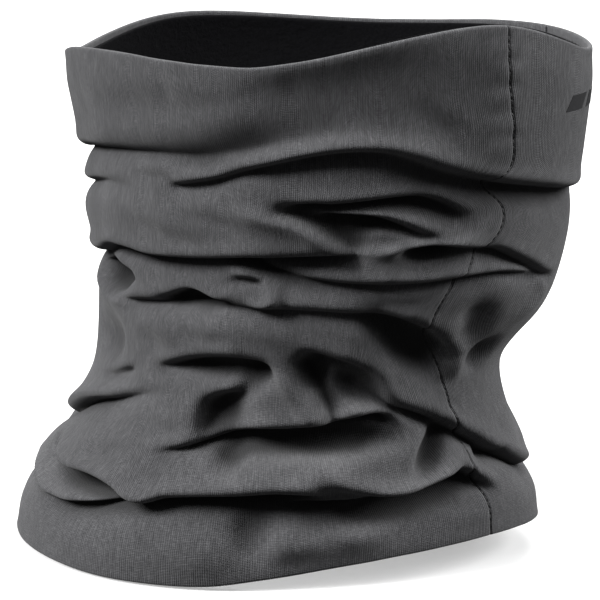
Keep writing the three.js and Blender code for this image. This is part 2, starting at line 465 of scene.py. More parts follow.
# the roll under it: a lit ridge, and its long dark underside that runs to the chin
ridge([(-110, 146), (-98, 150.5), (-87, 154), (-75, 158), (-62, 161), (-54, 160.5), (-46, 158),
       (-38, 153.5), (-28, 149)],
      height=2, width=3.2)
fold([(-115, 141.7), (-108, 143.2), (-98, 146), (-90, 149), (-80, 152.5), (-70, 155.5), (-60, 157),
      (-52, 156.5), (-46, 154), (-40, 150.5), (-33, 147), (-25, 143.5), (-15, 140.5), (-5, 137.5),
      (5, 135.5), (16, 134)],
     depth=(5, 5, 5.5, 7, 8, 8, 7), up=(1.8, 2, 2.2, 2.2), down=(2.5, 7, 11, 9, 5), lip=1.4,
     sag=(1, 1.2, 1.2, 2.2), ends=(0.03, 0.2))
fold([(-185, 134), (-170, 134), (-160, 135.5), (-150, 138), (-142, 139.5), (-132, 140), (-120, 140.5)],
     depth=(4.5, 4.5, 2), up=2, down=(4, 3, 3), lip=0.8, sag=1, ends=(0.1, 0.5))
tell_folds("band and roll, right")

# %% [markdown]
# Below the roll a wide strap of cloth crosses the nape and the jaw. Beside the jaw it folds over into a
# pocket, with an edge above, an edge below and a lit sliver between.

# %% Right side: the strap and the pocket
# the strap across the nape: its upper edge by the jaw, and the crease under it
ridge([(-185, 124), (-150, 127), (-120, 128), (-95, 129), (-82, 129)], height=2.4, width=9)
ridge([(-94, 136.5), (-86, 134.5), (-78, 131.5), (-70, 127.5), (-62, 122.5)], height=3.8, width=2.4)
fold([(-195, 110), (-172, 111), (-160, 112.5), (-151, 115.5), (-142, 118.5), (-134, 118), (-125, 116.5),
      (-115, 117), (-105, 117.7), (-95, 118.5), (-84, 119.5), (-72, 120), (-58, 119.7), (-48, 121)],
     depth=(8, 9, 8, 7, 7, 8, 6), up=(2, 1.8, 2, 2), down=(5, 4.5, 4, 6, 6), lip=(2.4, 2.2, 1.4),
     sag=(3, 2.6, 2), ends=(0.06, 0.15))
# the pocket beside the jaw
fold([(-56, 121), (-61, 125.5), (-67, 129.8), (-75, 133.8), (-84, 137)],
     depth=(8, 9, 3), up=1.4, down=5, lip=1.6, sag=1.2, ends=(0.15, 0.25))
fold([(-82, 137), (-74, 138.2), (-66, 139.2), (-58, 140), (-50, 140.7), (-43, 140.5), (-37, 137.5),
      (-32, 132), (-29, 127)],
     depth=(5, 7, 9, 7), up=1.7, down=(3, 6, 5), lip=1.6, sag=1.5, ends=(0.15, 0.2))
ridge([(-74, 136), (-66, 136.5), (-58, 136.8), (-50, 136), (-43, 132.5), (-37, 128)],
      height=4.5, width=1.6)
fold([(-70, 134.3), (-62, 134.6), (-54, 133.2), (-47, 130.2), (-40, 127), (-33, 125)],
     depth=(8, 12, 6, 3), up=1.4, down=(4, 7, 3, 2), lip=0.8, sag=1.2, ends=(0.1, 0.3))
ridge([(-61, 126), (-54, 128.4), (-47, 127.6), (-41, 125)], height=3.5, width=1.8)
ridge([(-60, 119.7), (-52, 121.7), (-44, 124), (-38, 125.3), (-33, 125), (-28, 123), (-24, 120)],
      height=3, width=2)
fold([(-47, 122.2), (-40, 122.8), (-34, 122), (-28, 120.7), (-23, 119)],
     depth=(8, 6, 4), up=1.4, down=(4, 3, 2), lip=0.8, sag=1, ends=(0.1, 0.2))
hollow((-40, 120.8), 4.5, 2.2, depth=6)
tell_folds("strap and pocket, right")

# %% [markdown]
# Under the strap lies a small tuck that curls back on itself. The throat below it carries a dark oval
# pocket at the nape, an arched opening at the side, and creases that are pulled down towards the chest.

# %% Right side: the tuck and the throat
# below the strap: the tuck, the swirl, and the long edge that runs to the chin
ridge([(-99, 118), (-95.5, 115.2), (-91, 113.8), (-86, 112.2), (-81.5, 108.8), (-81.5, 104.8),
       (-86, 102.6), (-92, 102.3)],
      height=4, width=2)
hollow((-88.5, 117), 6, 1.8, depth=6, tilt=-8)
hollow((-90, 110.4), 5, 1.3, depth=3.5, tilt=-5)
fold([(-92, 115.3), (-85, 114), (-78, 112.7), (-70, 111.2), (-62, 110.2), (-52, 109.8), (-44, 109.6),
      (-36, 110), (-29, 111), (-22, 111), (-14, 108.8), (-6, 105.5)],
     depth=(6, 5, 4, 4, 4), up=1.7, down=(4, 3, 2, 2.5), lip=1.8, sag=1.2, ends=(0.1, 0.2))
hollow((-82, 114.5), 9, 2, depth=3)
fold([(-30, 123.5), (-24, 120.5), (-19, 117), (-14, 113), (-9, 108.5), (-3, 103.5)],
     depth=7, up=1.8, down=3, lip=1.4, sag=1.5)
ridge([(-22, 116), (-14, 111.5), (-8.5, 106), (-7, 100), (-11, 94), (-16, 90)], height=2.6, width=2)
# the throat
hollow((-145.5, 104), 7.5, 5.6, depth=16, tilt=18)
fold([(-160, 103), (-155, 108.5), (-148, 111.2), (-141, 111), (-135, 107), (-133, 102)],
     depth=9, up=2, down=8, lip=3.5, sag=4, ends=(0.25, 0.3))
ridge([(-165, 108), (-160, 101), (-152, 96.5), (-144, 94.8), (-136, 97.5), (-129, 104)],
      height=2.2, width=2.8)
fold([(-142, 96.5), (-132, 97.3), (-122, 98.7), (-114, 100), (-106, 100.8), (-97, 100.7), (-88, 100),
      (-78, 100), (-68, 99.8), (-58, 98.7), (-50, 97.2), (-43, 94.5), (-38, 91.5), (-33, 86.5),
      (-29, 81.5), (-26, 76)],
     depth=(4, 5, 5, 4, 4, 5, 8, 6), up=(1.8, 2.4, 1.8, 2), down=(2, 2.5, 4, 7), lip=1.4, sag=(1, 1, 1.6),
     ends=(0.08, 0.12))
hollow((-109, 102.5), 10, 3, depth=5)
fold([(-122, 99.5), (-116, 104), (-109.5, 106), (-103, 104.2), (-97, 100.5)],
     depth=9, up=1.6, down=5, lip=1, sag=2.4, ends=(0.2, 0.2))
hollow((-43, 87.5), 13, 6.5, depth=10, tilt=-36)
hollow((-25, 92), 4, 9, depth=5)
ridge([(-31, 97), (-27.5, 89), (-25, 80), (-24, 68)], height=3, width=2)
hollow((-17, 79), 3.5, 6, depth=6)
ridge([(-140, 88), (-120, 90), (-100, 91), (-80, 90.5), (-66, 89)], height=2, width=6)
fold([(-124, 74), (-116, 77), (-108, 79.5), (-100, 80.7), (-92, 80.6), (-86, 79), (-82, 75.5), (-79, 70)],
     depth=(3, 7, 8, 7), up=(1.6, 2.2, 2.4), down=(3, 4, 3), lip=1.4, sag=1, ends=(0.15, 0.2))
hollow((-101, 77.2), 14, 2.8, depth=5)
hollow((-88, 75), 4, 7, depth=5, tilt=-40)
ridge([(-87, 80), (-81, 76.5), (-76.5, 71), (-71.5, 64.5), (-67, 59.5)], height=4.6, width=2.2)
fold([(-63.5, 58.5), (-63.5, 63), (-66.5, 70), (-71, 77), (-76, 84)],
     depth=9, up=1.6, down=5, lip=1, sag=0.6)
hollow((-70, 77), 4.5, 6, depth=5, tilt=-35)
hollow((-56, 72), 7, 4, depth=6, tilt=-28)
fold([(-76, 86), (-66, 83), (-57, 79.5), (-51, 75.5), (-47, 70.5), (-45, 64)],
     depth=5, up=2, down=4, lip=1.8, sag=1.2)
tell_folds("tuck and throat, right")

# %% [markdown]
# Over the shoulders the cloth spreads again. A deep diagonal runs from the throat to the chest, long level
# creases cross the belly of the cloth, and at the back their ends lie over each other in layers.

# %% Right side: the shoulders
# the shoulders' edge: the deep diagonal under the chin and the long level creases
fold([(-54, 72), (-47, 68), (-41, 63.5), (-35, 60), (-29, 56.5), (-23, 52), (-17, 47), (-11, 42),
      (-5, 37), (2, 32), (9, 28)],
     depth=(6, 9, 10, 8), up=2.2, down=(3, 4.5, 4), lip=2, sag=2.4, ends=(0.12, 0.15))
ridge([(-66, 62.5), (-59, 65.5), (-51, 66), (-45, 64), (-42, 59.5), (-41, 54)], height=3, width=2)
fold([(-120, 45.5), (-111, 49), (-103, 53), (-95, 56.5), (-86, 58), (-76, 58.5), (-66, 59.5), (-57, 61),
      (-50, 61.8), (-45.5, 60), (-43.5, 54)],
     depth=(4, 7, 9, 9, 9, 8), up=(1.6, 2, 2.2), down=(3, 5, 5, 5), lip=(2, 3, 3, 2),
     sag=(2, 3.5, 3.5, 2), ends=(0.15, 0.08))
ridge([(-108, 40), (-94, 41.5), (-78, 42), (-62, 42.5), (-50, 43)], height=4.5, width=6.5)
ridge([(-96, 16), (-78, 17), (-60, 17), (-44, 17)], height=4, width=8)
fold([(-105, 50), (-105.5, 58), (-103.5, 65), (-97, 68.8), (-88, 69)],
     depth=(6, 9, 5), up=1.8, down=9, lip=1, sag=1.2, ends=(0.3, 0.3))
hollow((-95.5, 60), 8, 7, depth=5)
hollow((-94, 47.5), 4, 5, depth=9)
hollow((-72, 53), 27, 5, depth=12)
hollow((-33, 47), 7, 3.4, depth=11, tilt=38)
ridge([(-27, 55), (-23, 49.5), (-20, 46), (-14, 44)], height=1.6, width=1.8)
fold([(-18, 44.5), (-15, 42.4), (-11, 41.8), (-7, 43)], depth=6, up=1.4, down=2.5, lip=1, sag=0.5)
fold([(-75, 47.5), (-70, 42.5), (-63, 38.5), (-55, 35.8), (-47, 34.6), (-39, 35.3), (-31, 38),
      (-24, 41.5), (-18, 43.5)],
     depth=(4, 7, 8, 3), up=1.6, down=4, lip=2.4, sag=1.6)
fold([(-84, 30.5), (-74, 31.5), (-63, 32), (-53, 32), (-44, 33), (-36, 35.5), (-29, 38), (-23, 37.5),
      (-18.5, 32), (-15, 25)],
     depth=(6, 9, 12, 9), up=2, down=(5, 9, 7), lip=2.6, sag=2.6, ends=(0.2, 0.15))
hollow((-43, 29), 18, 4.5, depth=9, tilt=8)
fold([(-150, 21.5), (-140, 24), (-131, 27), (-121, 30.8), (-111, 32.6), (-101, 34), (-90, 35), (-78, 36),
      (-66, 36), (-56, 34)],
     depth=(10, 12, 12, 12, 8), up=2, down=(5, 6, 8, 8), lip=(3, 2.6, 2), sag=(3.5, 3, 2),
     ends=(0.12, 0.2))
ridge([(-162, 42), (-155, 38.5), (-147, 38)], height=1.6, width=2)
fold([(-158, 42), (-151, 38), (-144, 36.4), (-136, 37), (-128, 36), (-120, 33), (-112, 30)],
     depth=(8, 14, 12, 6), up=1.8, down=(4, 6, 5, 3), lip=(2, 4, 3.5, 2), sag=(3, 5, 4, 2),
     ends=(0.2, 0.1))
hollow((-138, 34), 9, 3, depth=14, tilt=-6)
ridge([(-166, 33), (-158, 27.5), (-150, 24.5), (-142, 24.5), (-134, 27), (-127, 29.8), (-119, 30.6)],
      height=3, width=2)
fold([(-190, 24), (-174, 25.5), (-165, 26.5), (-158, 24.5), (-152, 20.5)],
     depth=6, up=1.8, down=4, lip=0.8, sag=1)
fold([(-190, 38), (-178, 42), (-167, 49), (-158, 54), (-150, 57.5), (-141, 60), (-131, 63), (-121, 65.5),
      (-111, 67.5)],
     depth=(8, 10, 7, 4), up=2, down=(6, 6, 4), lip=(1.6, 2.8, 1.4), sag=(2, 3.4, 1.4), ends=(0.1, 0.45))
fold([(-150, 66), (-140, 70), (-131, 73.5)], depth=4, up=1.4, down=2.5, lip=0.8, sag=1)
hollow((-147, 80), 7, 8, depth=5, tilt=20)
hollow((-86, 20), 5, 9, depth=5)
tell_folds("shoulders, right")

# %% [markdown]
# Cloth that is gathered also shows faint pulls where it is drawn tight from one fold to the next, and the
# seam draws it in a little every few stitches. Both are shallow, but without them the smooth stretches
# would look like rubber.

# %% Faint pulls and seam puckers
# each is a line of (angle, height) points
PULLS = [
    [(-96, 93), (-88, 88.5), (-80, 83)], [(-132, 89), (-124, 85), (-118, 80)],
    [(-84, 40), (-76, 44), (-66, 46)], [(-60, 104.5), (-48, 103), (-36, 102)],
    [(-82, 197), (-77, 184), (-74, 172)], [(-118, 192), (-113, 180), (-110, 168)],
    [(-92, 28), (-90, 20), (-87, 10)], [(-72, 28), (-67, 20), (-60, 12)],
    [(-136, 131), (-116, 126), (-96, 122)], [(-112, 134), (-97, 131), (-86, 127)],
    [(-130, 146), (-118, 144.5), (-108, 147)], [(-128, 58), (-118, 54), (-108, 56)],
    [(-116, 92), (-104, 88), (-92, 90)], [(-48, 178), (-42, 168), (-34, 160)],
    [(-58, 90), (-52, 84), (-48, 78)], [(-142, 48), (-134, 44), (-126, 46)],
]
# the seam lies near this angle and sways by so much, in degrees
PUCKER_ANGLE = -27
PUCKER_SWAY = 2
# mm
FIRST_PUCKER = 8
LAST_PUCKER = 190
PUCKER_SPACING = 9

for pull in PULLS:
    fold(pull, depth=1.6, up=2.4, down=3.4, lip=0.4, sag=0, ends=(0.4, 0.4))
for height in range(FIRST_PUCKER, LAST_PUCKER, PUCKER_SPACING):
    centre = (PUCKER_ANGLE - PUCKER_SWAY * math.sin(height), height)
    hollow(centre, half_round=3.2, half_up=2, depth=0.9)
tell_folds("with pulls and puckers")

# %% [markdown]
# ## Folds on the wearer's left
#
# The left side is gathered in the same way, but no two sides of a worn tube fold alike. Its creases start
# where the right side's leave the nape and the chin, and then go their own way. Many are drawn towards
# falling angles, so their lips rise over the crease from below. Gathered cloth rolls both ways.

# %% Left side: above the throat
fold([(172, 147), (155, 148), (140, 151), (122, 153), (104, 155), (86, 161), (70, 167), (56, 171),
      (44, 174)],
     depth=(6, 4), up=3, down=(5, 14), lip=1.6, sag=(3.5, 1.5), ends=(0.1, 0.5))
ridge([(122, 147), (104, 150), (88, 155), (72, 158), (56, 157), (42, 150)], height=2.4, width=4)
fold([(14, 134), (28, 139), (42, 145), (58, 149), (76, 150), (94, 147), (112, 142), (126, 139)],
     depth=(8, 4), up=4, down=(8, 5), lip=1.5, sag=(4, 2), ends=(0.2, 0.3))
fold([(134, 135), (146, 133), (160, 133), (176, 135)], depth=4.5, up=2.2, down=5, lip=1, sag=2)
ridge([(90, 129), (110, 127), (130, 125), (155, 124)], height=1.8, width=8)
fold([(170, 111), (154, 113), (138, 118), (122, 119), (106, 116), (90, 115), (74, 118), (60, 122),
      (46, 123)],
     depth=(6, 5), up=2.6, down=(6, 10), lip=1.6, sag=3, ends=(0.15, 0.2))
hollow((58, 134), 16, 5, depth=4)
fold([(84, 136), (70, 134), (58, 129), (50, 124)], depth=5, up=2.2, down=7, lip=1.2, sag=1)
fold([(18, 108), (30, 110), (42, 108), (56, 106), (70, 108), (86, 106), (98, 102)],
     depth=5, up=2.8, down=6, lip=1, sag=2.5)
fold([(8, 118), (20, 114), (32, 112)], depth=3, up=2, down=4, lip=1, sag=1.5)
tell_folds("above the throat, left")

# %% Left side: the throat and the shoulders
fold([(28, 79), (36, 88), (46, 94), (60, 96), (78, 94), (96, 97), (112, 101), (128, 99), (142, 102),
      (156, 99)],
     depth=5.5, up=2.5, down=(9, 5), lip=1.3, sag=2.5, ends=(0.15, 0.1))
hollow((120, 95), 9, 4, depth=4)
hollow((44, 85), 12, 6, depth=4, tilt=28)
fold([(70, 67), (78, 74), (90, 80), (104, 82), (118, 79), (130, 75)],
     depth=5.5, up=2.4, down=5, lip=1.3, sag=2.5)
fold([(52, 61), (58, 70), (66, 78), (76, 86)], depth=5, up=1.8, down=6, lip=1, sag=1)
hollow((60, 73), 9, 5, depth=4, tilt=25)
fold([(2, 27), (10, 36), (18, 44), (26, 52), (36, 58), (46, 62), (54, 67)],
     depth=7, up=3, down=6, lip=2, sag=4, ends=(0.2, 0.2))
fold([(46, 60), (58, 57), (72, 58), (88, 55), (104, 51), (120, 48), (134, 43)],
     depth=(7, 3), up=2.8, down=6, lip=1.6, sag=3.2, ends=(0.1, 0.3))
hollow((92, 64), 9, 6, depth=3.5)
hollow((34, 46), 4, 7, depth=3, tilt=22)
fold([(24, 38), (36, 36), (50, 33), (64, 36), (74, 43)], depth=4.2, up=1.8, down=4, lip=1, sag=1.8)
fold([(30, 26), (46, 28), (62, 32), (80, 34), (98, 33), (114, 29), (132, 27), (148, 22)],
     depth=(7, 4), up=3, down=7, lip=2, sag=3.2)
fold([(176, 38), (164, 44), (152, 52), (142, 60), (130, 65), (118, 66)],
     depth=(7, 2.5), up=2.4, down=6, lip=2, sag=3, ends=(0.15, 0.4))
fold([(172, 25), (160, 27), (148, 31), (136, 37), (124, 40)], depth=3.8, up=2, down=4.5, lip=1, sag=1.6)
ridge([(166, 84), (150, 86), (132, 88)], height=2, width=6)
tell_folds("throat and shoulders, left")

# %% [markdown]
# ## The folded skin
#
# The strokes have only been added up so far. Now each grid point slides along the form by what the lips
# ask for, and then moves out by a small puff or in by the depth of its crease. Adding up first and moving
# once keeps crossing folds from tearing each other. The folds fade out towards the rim and the hem,
# because the stitching holds the cloth smooth there.

# %% Fold the grid
# mm that the cloth stands off the CAD form, and the depth in mm that creases level off at
PUFF = 1.5
DEEPEST = 16
# mm below the rim and above the hem over which the folds fade in
RIM_HOLD = 14
HEM_HOLD = 12
# the share kept of a move's upward part, so that flaring cloth doesn't climb
UPWARD_SHARE = 0.5


def softened(values, passes=2):
    """A grid of values, softened a little in both directions so that no line is sharper than cloth."""
    for _ in range(passes):
        values = values / 2 + (np.roll(values, 1, axis=0) + np.roll(values, -1, axis=0)) / 4
        values[:, 1:-1] = values[:, 1:-1] / 2 + (values[:, :-2] + values[:, 2:]) / 4
    return values


def folded_points():
    """The folded tube's finely drawn points, and how deep each lies in a crease, in mm."""
    deep = DEEPEST * np.tanh(softened(into_cloth) / DEEPEST)
    height = grid_height + softened(slide_up)
    turn = grid_angle + softened(slide_along) * 360 / GIRTH
    beside = form_at(turn + 1, height) - form_at(turn - 1, height)
    above = form_at(turn, height + 1) - form_at(turn, height - 1)
    outward = np.cross(beside, above)
    outward /= np.linalg.norm(outward, axis=2)[..., None]
    outward[..., 2] *= UPWARD_SHARE
    below_rim = read_round(rim_heights, grid_angle) - grid_height
    above_hem = grid_height - read_round(hem_heights, grid_angle)
    freedom = ramp(below_rim, 0, RIM_HOLD) * ramp(above_hem, 0, HEM_HOLD)
    return form_at(turn, height) + outward * ((PUFF - deep) * freedom)[..., None], deep * freedom


fine_points, fine_depths = folded_points()
print("finely drawn points:", fine_depths.size)

# %% [markdown]
# The fine grid has more rows than the mesh needs. Rows are spent where the cloth bends: a lip or a crease
# gets more of them than a smooth stretch. Each point also keeps how deep in a crease it lies. Hardly any
# light gets back out from between two layers of soft dark cloth, and the jersey's material uses that depth
# later to paint that shade into the cloth's colour.

# %% Space the rows
ROWS = 168
# a bend of one radian is worth that many mm of straight cloth
BEND_WORTH = 3.5
WORTH_PASSES = 6
# mm into a crease where its painted shade starts to darken the cloth's colour, and where it is fully dark
SHALLOW = 1.5
DEEP = 8


def spaced_up(points, depths):
    """The same columns with ROWS steps up the cloth, closer together where it bends sharply."""
    steps = np.diff(points, axis=1)
    lengths = np.linalg.norm(steps, axis=2)
    heading = steps / lengths[..., None]
    bend = np.arccos(np.clip((heading[:, 1:] * heading[:, :-1]).sum(2), -1, 1))
    bend = np.concatenate([bend[:, :1], bend], 1)
    worth = softened(lengths + bend * BEND_WORTH, WORTH_PASSES)
    along = np.concatenate([np.zeros((len(points), 1)), np.cumsum(worth, axis=1)], 1)
    drawn = np.concatenate([points, depths[..., None]], 2)
    moved = np.zeros((len(points), ROWS + 1, drawn.shape[2]))
    for column, line in enumerate(drawn):
        even = np.linspace(0, along[column, -1], ROWS + 1)
        for k in range(drawn.shape[2]):
            moved[column, :, k] = np.interp(even, along[column], line[:, k])
    print("cloth up the tube, mm:", lengths.sum(1).min().round(), "to", lengths.sum(1).max().round())
    return moved[..., :3], moved[..., 3]


skin, skin_depths = spaced_up(fine_points, fine_depths)
# each point's share of the painted shade in the jersey's colour, from 0 where it is shallow to 1 where it
# lies deep in a crease
painted_crease_shade = ramp(skin_depths, SHALLOW, DEEP)
print("share of the cloth down a crease:", (painted_crease_shade > 0.5).mean().round(3))

# %% [markdown]
# ## The outer panels
#
# The jersey is one skin about 0.8 mm thick. At the rim and the hem it turns over a small radius and runs
# back down inside, as a turned edge does. At each seam the two edges dip together into a narrow groove,
# which is what makes a seam read as a dark line. So each panel takes its share of the grid's columns,
# gains a few narrow columns beside its seams and a few rows round its edges, and then a Solidify modifier
# gives it its thickness. Every sheet is made by code from rows and columns, because its UV map then runs
# along the cloth.

# %% Sheet tools
def normals_of(points, closed):
    """Unit vectors out of the grid's surface."""
    if closed:
        beside = np.roll(points, -1, axis=0) - np.roll(points, 1, axis=0)
    else:
        beside = np.gradient(points, axis=0)
    normal = np.cross(beside, np.gradient(points, axis=1))
    return normal / np.linalg.norm(normal, axis=2)[..., None]


def inward_of(points):
    """Level unit vectors towards the tube's axis."""
    level = points * [-1, -1, 0]
    return level / np.linalg.norm(level, axis=-1)[..., None]


def grid_mesh(name, points, closed, shares=None):
    """A mesh with a vertex for each grid point, a UV map in metres along the cloth and, where they are
    given, the points' crease shares."""
    columns, rows = points.shape[:2]
    index = np.arange(columns * rows).reshape(columns, rows)
    used = columns if closed else columns - 1
    after = np.roll(index, -1, axis=0)[:used]
    this = index[:used]
    faces = np.stack([this[:, :-1], after[:, :-1], after[:, 1:], this[:, 1:]], -1).reshape(-1, 4)
    mesh = bpy.data.meshes.new(name)
    mesh.from_pydata((points.reshape(-1, 3) * MM).tolist(), [], faces.tolist())
    mesh.shade_smooth()
    widths = np.linalg.norm(np.diff(points, axis=0), axis=2).mean(1) * MM
    round_at = np.concatenate([[0], np.cumsum(widths)])
    if closed:
        round_at = np.append(round_at, round_at[-1] + widths.mean())
    heights = np.linalg.norm(np.diff(points, axis=1), axis=2) * MM
    up_at = np.concatenate([np.zeros((columns, 1)), np.cumsum(heights, axis=1)], 1)
    u, v = np.meshgrid(np.arange(used), np.arange(rows - 1), indexing="ij")
    corners = [(0, 0), (1, 0), (1, 1), (0, 1)]
    uv = np.stack([np.stack([round_at[u + i], up_at[(u + i) % columns, v + j]], -1) for i, j in corners], 2)
    mesh.uv_layers.new(name="cloth").data.foreach_set("uv", uv.reshape(-1))
    # the crease attribute carries each point's share of the painted shade that darkens the jersey's colour
    if shares is not None:
        mesh.attributes.new("crease", "FLOAT", "POINT").data.foreach_set("value", shares.reshape(-1))
    return link(bpy.data.objects.new(name, mesh))


def apply_modifiers(piece):
    """Make a piece's modifiers part of its mesh."""
    bpy.ops.object.select_all(action="DESELECT")
    piece.select_set(True)
    bpy.context.view_layer.objects.active = piece
    for modifier in list(piece.modifiers):
        bpy.ops.object.modifier_apply(modifier=modifier.name)


def thicken(piece, thickness, offset=-1, group=""):
    """Give a skin its thickness in mm, inwards for an offset of -1 and outwards for 1. A vertex group may
    make it thinner in places."""
    wall = piece.modifiers.new("thickness", "SOLIDIFY")
    wall.thickness = thickness * MM
    wall.offset = offset
    wall.vertex_group = group
    apply_modifiers(piece)


# %% Turned edges and seam edges
# mm
TURN_RADIUS = 1.1
TURN_STEPS = 6
# mm that the last rows run back inside
TURNED_IN = [1.5, 3.2]
# shares of the way to the next column where the narrow columns stand, and how far in mm each dips
SEAM_SHARES = [0, 0.12, 0.32, 0.62]
SEAM_DIPS = [0.8, 0.4, 0.1, 0.02]


def turned_edge(last_row, rise):
    """Rows of points that turn in over an edge and run back inside. rise is 1 at the rim, -1 at the hem."""
    inward = inward_of(last_row)
    upright = np.array([0, 0, rise])
    rows = []
    for step in range(1, TURN_STEPS + 1):
        turn = math.pi * step / TURN_STEPS
        rows.append(last_row + TURN_RADIUS * (inward * (1 - math.cos(turn)) + upright * math.sin(turn)))
    for depth in TURNED_IN:
        rows.append(last_row + inward * 2 * TURN_RADIUS - upright * depth)
    return np.stack(rows, 1)


def with_turned_edges(points):
    """The grid with its first and last rows replaced by turned edges."""
    hem = turned_edge(points[:, 1], -1)[:, ::-1]
    rim = turned_edge(points[:, -2], 1)
    return np.concatenate([hem, points[:, 1:-1], rim], 1)


def with_seam_edges(points):
    """The panel's columns with narrow ones added beside both seams, dipping into the groove."""
    normal = normals_of(points, closed=False)
    first = []
    last = []
    for share, dip in zip(SEAM_SHARES, SEAM_DIPS):
        first.append(points[0] * (1 - share) + points[1] * share - normal[0] * dip)
        last.append(points[-1] * (1 - share) + points[-2] * share - normal[-1] * dip)
    return np.concatenate([np.stack(first), points[1:-1], np.stack(last[::-1])])


# %% Panels
# mm thick
CLOTH = 0.8


def panel(name, first, last):
    """A panel from one column of the grid round to another."""
    columns = np.arange(first, last + 1) % COLUMNS
    edged = with_turned_edges(with_seam_edges(skin[columns]))
    more_columns = len(SEAM_SHARES) - 1
    more_rows = TURN_STEPS + len(TURNED_IN) - 1
    # each point's share of painted crease shade, carried to the added seam columns and turned rows
    shares = np.pad(painted_crease_shade[columns], ((more_columns, more_columns), (more_rows, more_rows)), mode="edge")
    piece = grid_mesh(name, edged, closed=False, shares=shares)
    thicken(piece, CLOTH)
    print(name, "triangles:", sum(len(face.vertices) - 2 for face in piece.data.polygons))
    return piece


main_panel = panel("outer_main_panel", LEFT_SEAM_COLUMN, COLUMNS + RIGHT_SEAM_COLUMN)
front_panel = panel("outer_front_panel", RIGHT_SEAM_COLUMN, LEFT_SEAM_COLUMN)

# %% [markdown]
# ## The lining
#
# The brushed lining lies inside and gathers with the outer cloth, but it is thicker and softer, so its
# folds are wider. It follows the innermost reach of the outer cloth: for each direction and height the
# nearest point to the axis, spread over a few millimetres and softened. That keeps it clear of every
# crease.

# %% The lining's reach
# mm between the outer cloth's drawn face and the lining's
LINING_CLEARANCE = 2.6
# the reach is read every so many degrees round and mm up
LINING_TURN = 2.5
LINING_RISE = 2.0
LINING_REACH_TOP = 204
# how many steps round and up the nearest points spread, and how often the result is softened
REACH_SPREAD = 2
REACH_PASSES = 3

lining_angles = np.arange(-180, 180, LINING_TURN)
lining_levels = np.arange(0, LINING_REACH_TOP, LINING_RISE)


def nearest_reach(points):
    """The smallest distance from the axis at each lining angle and level."""
    turn = np.degrees(np.arctan2(points[..., 1], points[..., 0]))
    column = np.round((turn + 180) / LINING_TURN).astype(int) % len(lining_angles)
    row = np.clip(np.round(points[..., 2] / LINING_RISE).astype(int), 0, len(lining_levels) - 1)
    reach = np.full((len(lining_angles), len(lining_levels)), np.inf)
    np.minimum.at(reach, (column, row), np.hypot(points[..., 0], points[..., 1]))
    for _ in range(REACH_SPREAD):
        spread = np.minimum(np.minimum(np.roll(reach, 1, axis=0), reach), np.roll(reach, -1, axis=0))
        below = np.concatenate([spread[:, :1], spread[:, :-1]], 1)
        above = np.concatenate([spread[:, 1:], spread[:, -1:]], 1)
        reach = np.minimum(np.minimum(below, above), spread)
    levels = np.arange(len(lining_levels))
    for column in range(len(reach)):
        known = np.isfinite(reach[column])
        reach[column] = np.interp(levels, levels[known], reach[column][known])
    return softened(reach, REACH_PASSES)


lining_reach = nearest_reach(fine_points) - LINING_CLEARANCE
print("the lining's reach, mm:", lining_reach.min().round(1), "to", lining_reach.max().round(1))


def lining_at(turn, height):
    """Points on the lining's outer face in mm."""
    column = np.mod(turn + 180, 360) / LINING_TURN
    this = np.floor(column).astype(int) % len(lining_angles)
    after = (this + 1) % len(lining_angles)
    up = np.clip(height / LINING_RISE, 0, len(lining_levels) - 1)
    row = np.minimum(up.astype(int), len(lining_levels) - 2)
    low = lining_reach[this, row] * (1 - column % 1) + lining_reach[after, row] * (column % 1)
    high = lining_reach[this, row + 1] * (1 - column % 1) + lining_reach[after, row + 1] * (column % 1)
    return on_circle(low + (high - low) * (up - row), turn, height)


# %% Lining
# mm thick
LINING = 1.2
# degrees from one column to the next
LINING_COLUMN_TURN = 2.0
# mm that the lining stops short of the rim and the hem
LINING_TOP = 1.9
# mm from its edge where its first rows lie, and its thickness there as a share of the full one
EDGE_STEPS = [0.0, 0.25, 0.7, 1.5]
EDGE_WEIGHTS = [0.3, 0.7, 0.93, 1.0]
EDGE_BAND = 3
MIDDLE_ROWS = 86


def lining_rows(angle):
    """Heights of the lining's rows in one direction, closer together at its two edges."""
    low = read_round(hem_heights, angle) + LINING_TOP
    high = read_round(rim_heights, angle) - LINING_TOP
    middle = np.linspace(low + EDGE_BAND, high - EDGE_BAND, MIDDLE_ROWS)
    return np.concatenate([low + np.array(EDGE_STEPS), middle, high - np.array(EDGE_STEPS[::-1])])


turns = np.arange(-180, 180, LINING_COLUMN_TURN)
heights = np.stack([lining_rows(turn) for turn in turns])
lining_points = lining_at(np.repeat(turns[:, None], heights.shape[1], 1), heights)
lining = grid_mesh("brushed_lining", lining_points, closed=True)
edge_weights = np.ones(heights.shape)
edge_weights[:, :len(EDGE_WEIGHTS)] = EDGE_WEIGHTS
edge_weights[:, -len(EDGE_WEIGHTS):] = EDGE_WEIGHTS[::-1]
full = lining.vertex_groups.new(name="full")
for index, weight in enumerate(edge_weights.reshape(-1)):
    full.add([index], float(weight), "REPLACE")
thicken(lining, LINING, group="full")
lining.vertex_groups.clear()
print("lining faces:", len(lining.data.polygons))

# %% [markdown]
# ## Stitches
#
# A seam in jersey is held by thread that shows as a row of short stitches. One stitch is modelled once: a
# thin cylinder, cut near both ends so that they can be drawn in, and arched a little. A row of copies then
# follows a path along the cloth. A row is one piece, because it is one thread.

# %% One stitch
# the stitch is one unit long and wide, so all of these are shares of its size
STITCH_SIDES = 6
SHOULDER = 0.3
BEYOND_SHOULDER = 0.4
END_WIDTH = 0.35
ARCH = 0.2
HALF = 0.5

